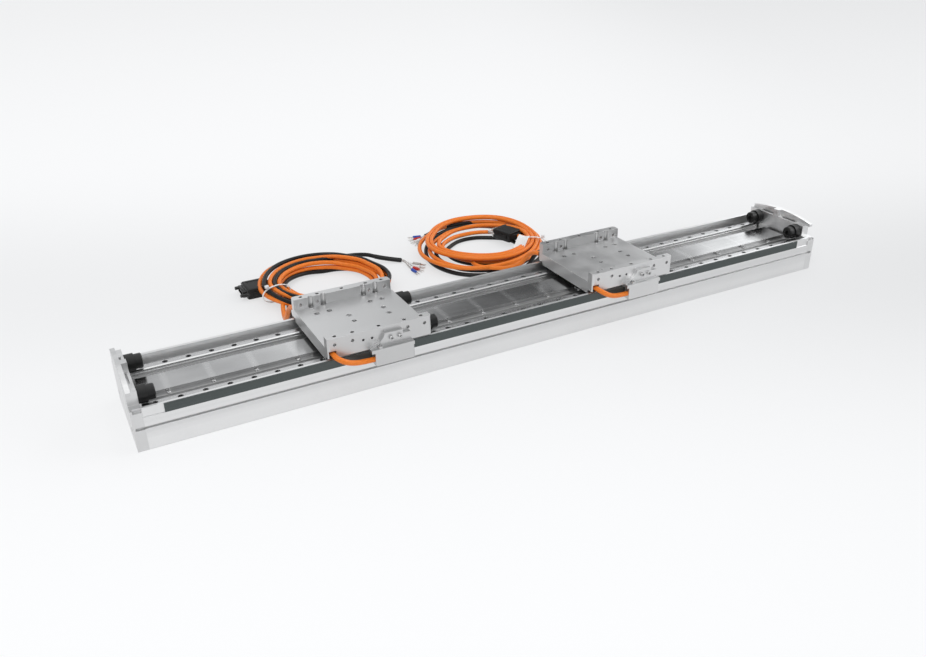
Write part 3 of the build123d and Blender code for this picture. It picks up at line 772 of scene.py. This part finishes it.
def make_connector(letter):
    place, angle = CONNECTORS[letter]
    black = FINISHES["black_plastic"]
    steel = FINISHES["magnet_plating"] if letter == "b" else EXTRAS["dark_steel_and_recess_shade"]
    hood = bevelled_box("hood", *HOOD, black, 0.0018, 3)
    choose(hood, "face", lambda p, n: n.z > SQUARE_TO)
    bpy.ops.mesh.inset(thickness=0.0028)
    bpy.ops.mesh.inset(thickness=0.0005, depth=-0.0006)
    done()
    choose(hood, "face", lambda p, n: n.x < -SQUARE_TO)
    bpy.ops.mesh.inset(thickness=0.0015)
    bpy.ops.mesh.extrude_region_move(TRANSFORM_OT_translate={"value": (-0.004, 0, 0)})
    bpy.ops.transform.resize(value=(1, 0.42, 0.86))
    done()
    shell = bevelled_box("shell", *SHELL, steel, 0.0008)
    choose(shell, "face", lambda p, n: n.x > SQUARE_TO)
    bpy.ops.mesh.inset(thickness=0.0011)
    bpy.ops.mesh.extrude_region_move(TRANSFORM_OT_translate={"value": (-0.004, 0, 0)})
    done()
    parts = [hood, shell, bevelled_box("flange", *FLANGE, steel, 0.0003)]
    for side in (-1, 1):
        screw = rod_along_x("thumb_screw", THUMB_RADIUS, THUMB_LENGTH,
                            (THUMB_X, side * THUMB_Y, THUMB_Z), steel)
        choose(screw, "face", lambda p, n: abs(n.x) > SQUARE_TO)
        bpy.ops.mesh.inset(thickness=0.0006, depth=0.0005)
        done()
        low = (GRIP_X[0], side * GRIP_Y - GRIP_HALF, GRIP_Z[0])
        high = (GRIP_X[1], side * GRIP_Y + GRIP_HALF, GRIP_Z[1])
        parts += [screw, bevelled_box("grip", low, high, black, 0.0007)]
    piece = join_pieces(parts, f"hooded_connector_{letter}")
    smooth(piece, 30)
    turn = Matrix.Rotation(math.radians(angle), 4, "Z")
    piece.data.transform(Matrix.Translation(place) @ turn)
    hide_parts(f"connector_{letter}")
    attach(piece, "base")
    return piece


# Fork terminals: each one's place in mm and its heading in degrees, with its sleeve's colour

FORKS = {
    "a": [(-29, 214, -72, "red"), (-26, 221, -58, "nylon"), (-22, 229, -50, "wire"),
          (-34, 209, -88, "blue")],
    "b": [(30, 321, 165, "blue"), (27, 315, 185, "red"), (24, 309, 205, "nylon"),
          (22, 302, 225, "wire")],
}
TONGUE = ((0.008, -0.00275, 0.0016), (0.018, 0.00275, 0.0024))
TONGUE_SLOT = ((0.0125, -0.0012, 0.0), (0.020, 0.0012, 0.004))
SLEEVE_RADIUS, SLEEVE_LENGTH, SLEEVE_MIDDLE = 0.0023, 0.0110, (0.0040, 0, 0.0024)
WIRE_THICK, WIRE_HEIGHT, WIRE_SPREAD, WIRE_FAN = 0.0018, 0.002, 0.0009, 1.6


def fork_tongue():
    """A stamped fork: a flat tongue with an open slot, pointing along +X."""
    tongue = bevelled_box("tongue", *TONGUE, FINISHES["terminal_metal"], 0.0003, 1)
    cut_away(tongue, bevelled_box("slot", *TONGUE_SLOT, EXTRAS["wire"], 0.0008))
    return tongue


def make_terminals(letter):
    """Four wires from the power cable's end, each in a coloured sleeve with a fork."""
    before, tail = (Vector(place) * MM for place in ENDS[f"power_{letter}"][-2:])
    out = (tail - before).normalized()
    out.z = 0.0
    pattern = fork_tongue()
    parts = []
    for k, (x, y, degrees, colour) in enumerate(FORKS[letter]):
        turn = math.radians(degrees)
        heading = Vector((math.cos(turn), math.sin(turn), 0))
        foot = Vector((x * MM, y * MM, WIRE_HEIGHT))
        fan = Vector((0, math.cos(k * WIRE_FAN), math.sin(k * WIRE_FAN)))
        start = tail + fan * WIRE_SPREAD
        route = [start, start + out * 0.007, foot - heading * 0.009, foot + heading * 0.003]
        line = line_through("wire_route", route, WIRE_STEP)
        parts.append(tube_along("wire", line, WIRE_THICK, EXTRAS["wire" if k % 2 else "nylon"], 8))
        sleeve = rod_along_x("sleeve", SLEEVE_RADIUS, SLEEVE_LENGTH, SLEEVE_MIDDLE, EXTRAS[colour])
        choose(sleeve, "face", lambda p, n: abs(n.x) > SQUARE_TO)
        bpy.ops.mesh.inset(thickness=0.0005, depth=0.0006)
        done()
        smooth(sleeve)
        place = Matrix.Translation((x * MM, y * MM, 0)) @ Matrix.Rotation(turn, 4, "Z")
        sleeve.data.transform(place)
        parts += [sleeve, copy_piece(pattern, "tongue", place)]
    remove_piece(pattern)
    piece = join_pieces(parts, f"fork_terminals_{letter}")
    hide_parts(f"terminals_{letter}")
    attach(piece, "base")
    return piece


# Ties and tag. Each tie has its angle on the coil in degrees, then how far off the bundle's
# middle is, half the tie's width, and its height.

TIES = {"a": (190, 0.0865, 0.0205, 0.0235), "b": (-38, 0.081, 0.0205, 0.0245)}
TIE_WIDTH, TIE_THICK, TIE_BULGE, TIE_LIFT = 0.0025, 0.0009, 0.08, 0.0015
TAG_SIZE, TAG_THICK, TAG_PLACE, TAG_TURN, TAG_TIP = (
    (0.026, 0.016, 1.0), 0.0006, (0.1235, 0.1725, 0.0270), 35, -12)


def make_tie(letter, angle, middle, half, height):
    """A narrow white tie pulled round the bundle, with its lock on top."""
    start_piece()
    bpy.ops.mesh.primitive_circle_add(vertices=28, radius=1.0, fill_type="NOTHING",
                                      rotation=(math.pi / 2, 0, 0))
    bpy.context.object.scale = (half, height / 2, 1.0)
    strap = settle(name_piece("strap", EXTRAS["nylon"]))
    for vertex in strap.data.vertices:
        lift = abs(vertex.co.z) / (height / 2)
        vertex.co.x *= 1 + TIE_BULGE * lift * lift
    choose(strap, "edge", lambda p, n: True)
    bpy.ops.mesh.extrude_edges_move(TRANSFORM_OT_translate={"value": (0, TIE_WIDTH, 0)})
    done()
    fit_modifier(strap, "SOLIDIFY", thickness=TIE_THICK, offset=1.0)
    fit_modifier(strap, "BEVEL", width=0.0002, segments=1)
    lock = bevelled_box("lock", (half * 0.5, -0.0008, height / 2 - 0.0008),
                        (half * 0.5 + 0.005, 0.0034, height / 2 + 0.003), EXTRAS["nylon"], 0.0005)
    tie = join_pieces([strap, lock], f"cable_tie_{letter}")
    smooth(tie, 40)
    turn = Matrix.Rotation(math.radians(angle), 4, "Z")
    centre = Matrix.Translation((*COIL_CENTRES[letter], height / 2 + TIE_LIFT))
    tie.data.transform(centre @ turn @ Matrix.Translation((middle, 0, 0)))
    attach(tie, "base")


def make_tag():
    """A blank white tag with a soft bend, beside coil B's tie and resting on the turns."""
    start_piece()
    bpy.ops.mesh.primitive_grid_add(x_subdivisions=14, y_subdivisions=8, size=1.0)
    bpy.context.object.scale = TAG_SIZE
    tag = settle(name_piece("cable_tag_b", EXTRAS["tag"]))
    for vertex in tag.data.vertices:
        vertex.co.z = 0.0035 * math.sin(vertex.co.x * 130) - 0.0018 * math.cos(vertex.co.y * 180)
    fit_modifier(tag, "SOLIDIFY", thickness=TAG_THICK)
    fit_modifier(tag, "BEVEL", width=0.00015, segments=1)
    smooth(tag, 50)
    turn = Matrix.Rotation(math.radians(TAG_TURN), 4, "Z")
    tip = Matrix.Rotation(math.radians(TAG_TIP), 4, "Y")
    tag.data.transform(Matrix.Translation(TAG_PLACE) @ turn @ tip)
    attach(tag, "base")


# Screws: each head's radius, height and edge, and its socket's radius and depth

SCREW_HEADS = {
    "block": (0.00255, 0.0028, 0.0003, 0.0015, 0.0018),
    "rail": (0.00265, 0.0028, 0.0003, 0.0013, 0.0015),
    "track": (0.0024, 0.0015, 0.0003, 0.0011, 0.0009),
    "end": (0.0041, 0.0045, 0.0004, 0.0022, 0.0024),
}
BLOCK_MIDDLE, BLOCK_HALF, BLOCK_YS, BLOCK_Z = 0.0325, 0.0075, (-0.050, -0.030, 0.030, 0.050), 0.055
FORCER_MIDDLE, FORCER_X, FORCER_Y, FORCER_Z = 0.0112, 0.02115, 0.008, 0.0565
BRACKET_XS, BRACKET_Y, BRACKET_Z = (0.010, 0.020), -0.0645, 0.060
LEDGE_SCREW = (-0.004, -0.06725, 0.052)
RAIL_Y, RAIL_Z, TRACK_Y, TRACK_Z = 0.040, 0.0355, 0.0205, 0.036
END_X, END_Y, END_Z = 0.451, 0.040, 0.015


def socket_screw(kind, material):
    """A cap screw's head, standing on z = 0: a bevelled cylinder with a hexagonal socket."""
    radius, height, edge, socket, depth = SCREW_HEADS[kind]
    start_piece()
    bpy.ops.mesh.primitive_cylinder_add(vertices=20, radius=radius, depth=height,
                                        location=(0, 0, height / 2))
    head = settle(name_piece(f"{kind}_screw", material))
    choose(head, "edge", lambda p, n: p.z > height * 0.99 and p.xy.length > radius * 0.9)
    bpy.ops.mesh.bevel(offset=edge, segments=2)
    done()
    start_piece()
    bpy.ops.mesh.primitive_cylinder_add(vertices=6, radius=socket, depth=2 * depth,
                                        location=(0, 0, height))
    cut_away(head, settle(bpy.context.object))
    smooth(head)
    return head


def screw_set(pattern, places, name, body, replaced=(), turn=Matrix.Identity(4)):
    """Copies one screw to each place, joins them to one piece and sets it on its body."""
    twins = [copy_piece(pattern, name, Matrix.Translation(p) @ turn) for p in places]
    piece = join_pieces(twins, name)
    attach(piece, body)
    if replaced:
        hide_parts(*replaced)


def screw_row(row, y, z):
    first, pitch, count = row
    return [(first + pitch * k, y, z) for k in range(count)]


def carriage_screw_places(x):
    """The guide blocks' screws, four blocks of four, then the forcer's four screws."""
    blocks = [(x + end * BLOCK_MIDDLE + step * BLOCK_HALF, y, BLOCK_Z)
              for end in (-1, 1) for step in (-1, 1) for y in BLOCK_YS]
    forcer = [(x + FORCER_MIDDLE + step * FORCER_X, side * FORCER_Y, FORCER_Z)
              for step in (-1, 1) for side in (-1, 1)]
    return blocks + forcer


def make_screws():
    block = socket_screw("block", FINISHES["screw_steel"])
    # The rail screws get the dark steel as painted shade: they sit deep in their counterbores
    rail = socket_screw("rail", EXTRAS["dark_steel_and_recess_shade"])
    track = socket_screw("track", FINISHES["screw_steel"])
    end = socket_screw("end", FINISHES["screw_steel"])
    facing = Matrix.Rotation(math.pi / 2, 4, "X")
    for letter, x in CARRIAGES.items():
        body = f"carriage_{letter}"
        screw_set(block, carriage_screw_places(x), f"socket_screws_{letter}", body,
                  [f"carriage_screws_{letter}"])
        screw_set(block, [(x + step, BRACKET_Y, BRACKET_Z) for step in BRACKET_XS],
                  f"bracket_screws_{letter}", body, [f"reader_screws_{letter}"], facing)
        ledge_x, ledge_y, ledge_z = LEDGE_SCREW
        screw_set(block, [(x + ledge_x, ledge_y, ledge_z)], f"ledge_screw_{letter}", body)
    for name, side in (("front", -1), ("back", 1)):
        rails = screw_row(RAIL_ROW, side * RAIL_Y, RAIL_Z)
        tracks = screw_row(TRACK_ROW, side * TRACK_Y, TRACK_Z)
        screw_set(rail, rails, f"rail_screws_{name}", "base")
        screw_set(track, tracks, f"track_screws_{name}", "base")
    for name, side in (("left", -1), ("right", 1)):
        places = [(side * END_X, y, END_Z) for y in (-END_Y, END_Y)]
        turn = Matrix.Rotation(side * math.pi / 2, 4, "Y")
        screw_set(end, places, f"end_screws_{name}", "base", ["end_block_screws"], turn)
    for pattern in (block, rail, track, end):
        remove_piece(pattern)


# Floor and backdrop

FLOOR_SIZE, FLOOR_HEIGHT = 14.0, -0.0005
FLOOR_COLOUR, FLOOR_GLOW = (0.86, 0.87, 0.885, 1), (0.990, 0.994, 1.0, 1)
GLOW_SHARE = 0.74  # how much of what the camera sees of the floor is its own glow
VIEW_X, VIEW_Y = 0.456, 0.890  # the camera's heading over the floor
# Painted shade on the floor: its glow is dimmed in a soft belt across the view, around the module,
# and more towards one side
SHADE_BELT_MIDDLE, SHADE_BELT_WIDTH, BELT_SHADE = 0.12, 0.34, 0.20
ONE_OVER_E = 0.3679
SIDE_SHADE = 0.10
BACKDROP = (0.96, 0.97, 0.985, 1)
PANEL_TINT = (0.97, 0.985, 1.0)
# The studio's brightness from left to right, as reflections see it: pale panels and a dark gap
PANELS = [(0.0, 0.60), (0.15, 0.85), (0.29, 1.05), (0.43, 0.18), (0.59, 0.10), (0.68, 1.8),
          (1.0, 1.3)]


def camera_or_glossy(tree):
    """1 for what the camera sees, by itself or in a reflection, and 0 for the rest."""
    path = tree_node(tree, "ShaderNodeLightPath").outputs
    seen = tree_math(tree, "ADD", path["Is Camera Ray"], path["Is Glossy Ray"])
    return tree_math(tree, "MINIMUM", seen, 1.0)


def make_stage():
    """A white floor that glows a little for the camera, with painted shade in a soft greyer belt
    across it, around the module and stronger towards one side.
    """
    start_piece()
    bpy.ops.mesh.primitive_plane_add(size=FLOOR_SIZE, location=(0, 0, FLOOR_HEIGHT))
    floor = bpy.context.object
    floor.name = "floor"
    material = bpy.data.materials.new("studio floor")
    material.use_nodes = True
    tree = material.node_tree
    shader = tree.nodes["Principled BSDF"]
    feed(tree, FLOOR_COLOUR, shader.inputs["Base Color"])
    feed(tree, 0.85, shader.inputs["Roughness"])
    place = tree_node(tree, "ShaderNodeTexCoord").outputs["Object"]
    x, y, _ = tree_node(tree, "ShaderNodeSeparateXYZ", {0: place}).outputs

    def along(share_x, share_y):
        return tree_math(tree, "ADD", tree_math(tree, "MULTIPLY", x, share_x),
                         tree_math(tree, "MULTIPLY", y, share_y))

    depth, across = along(VIEW_X, VIEW_Y), along(VIEW_Y, -VIEW_X)
    off = tree_math(tree, "DIVIDE", tree_math(tree, "SUBTRACT", depth, SHADE_BELT_MIDDLE), SHADE_BELT_WIDTH)
    shade_belt = tree_math(tree, "POWER", ONE_OVER_E, tree_math(tree, "MULTIPLY", off, off))
    lean = tree_spread(tree, across, 0.7, 1.0, start=-0.7, end=0.7)
    side = tree_spread(tree, across, 0.0, SIDE_SHADE, start=0.0, end=1.1,
                       interpolation_type="SMOOTHSTEP")
    leaning = tree_math(tree, "MULTIPLY", shade_belt, lean)
    # Painted shade: how far the floor's glow is dimmed
    dip = tree_math(tree, "ADD", tree_math(tree, "MULTIPLY", leaning, BELT_SHADE), side)
    glow = tree_node(tree, "ShaderNodeEmission", {
        "Color": FLOOR_GLOW, "Strength": tree_math(tree, "SUBTRACT", 1.0, dip)}).outputs[0]
    mix = tree_node(tree, "ShaderNodeMixShader", {
        0: tree_math(tree, "MULTIPLY", camera_or_glossy(tree), GLOW_SHARE),
        1: shader.outputs[0], 2: glow}).outputs[0]
    feed(tree, mix, tree.nodes["Material Output"].inputs["Surface"])
    floor.data.materials.append(material)


def make_world():
    """A studio seen as plain white by the camera, and as panels with a gap by reflections."""
    world = bpy.data.worlds.new("studio")
    bpy.context.scene.world = world
    world.use_nodes = True
    tree = world.node_tree
    back = tree.nodes["Background"].inputs
    toward = tree_node(tree, "ShaderNodeTexCoord").outputs["Generated"]
    x = tree_node(tree, "ShaderNodeSeparateXYZ", {0: toward}).outputs[0]
    panels = tree_node(tree, "ShaderNodeValToRGB", {0: x})
    ramp = panels.color_ramp
    ramp.interpolation = "EASE"
    ramp.elements[0].position, ramp.elements[-1].position = PANELS[0][0], PANELS[-1][0]
    for where, _ in PANELS[1:-1]:
        ramp.elements.new(where)
    for point, (_, tone) in zip(ramp.elements, PANELS):
        point.color = (*(tone * tint for tint in PANEL_TINT), 1)
    seen = tree_node(tree, "ShaderNodeLightPath").outputs["Is Camera Ray"]
    feed(tree, tree_blend(tree, seen, panels.outputs[0], BACKDROP), back["Color"])
    feed(tree, tree_spread(tree, camera_or_glossy(tree), 0.75, 1.0), back["Strength"])


# The scene

add_camera()
dress_nodes()
for letter in CARRIAGES:
    make_cable("signal", letter, "orange_jacket",
               [f"signal_lead_{letter}", f"coil_{letter}"], make_connector(letter))
    make_cable("power", letter, "black_jacket",
               [f"power_lead_{letter}", f"power_tail_{letter}"], make_terminals(letter))
    make_reader_cable(letter)
for letter, sizes in TIES.items():
    make_tie(letter, *sizes)
make_tag()
make_screws()
make_stage()
make_world()
for name, (place, size, power) in LAMPS.items():
    add_lamp(name, place, size, power)
bpy.context.scene.view_settings.view_transform = "Standard"
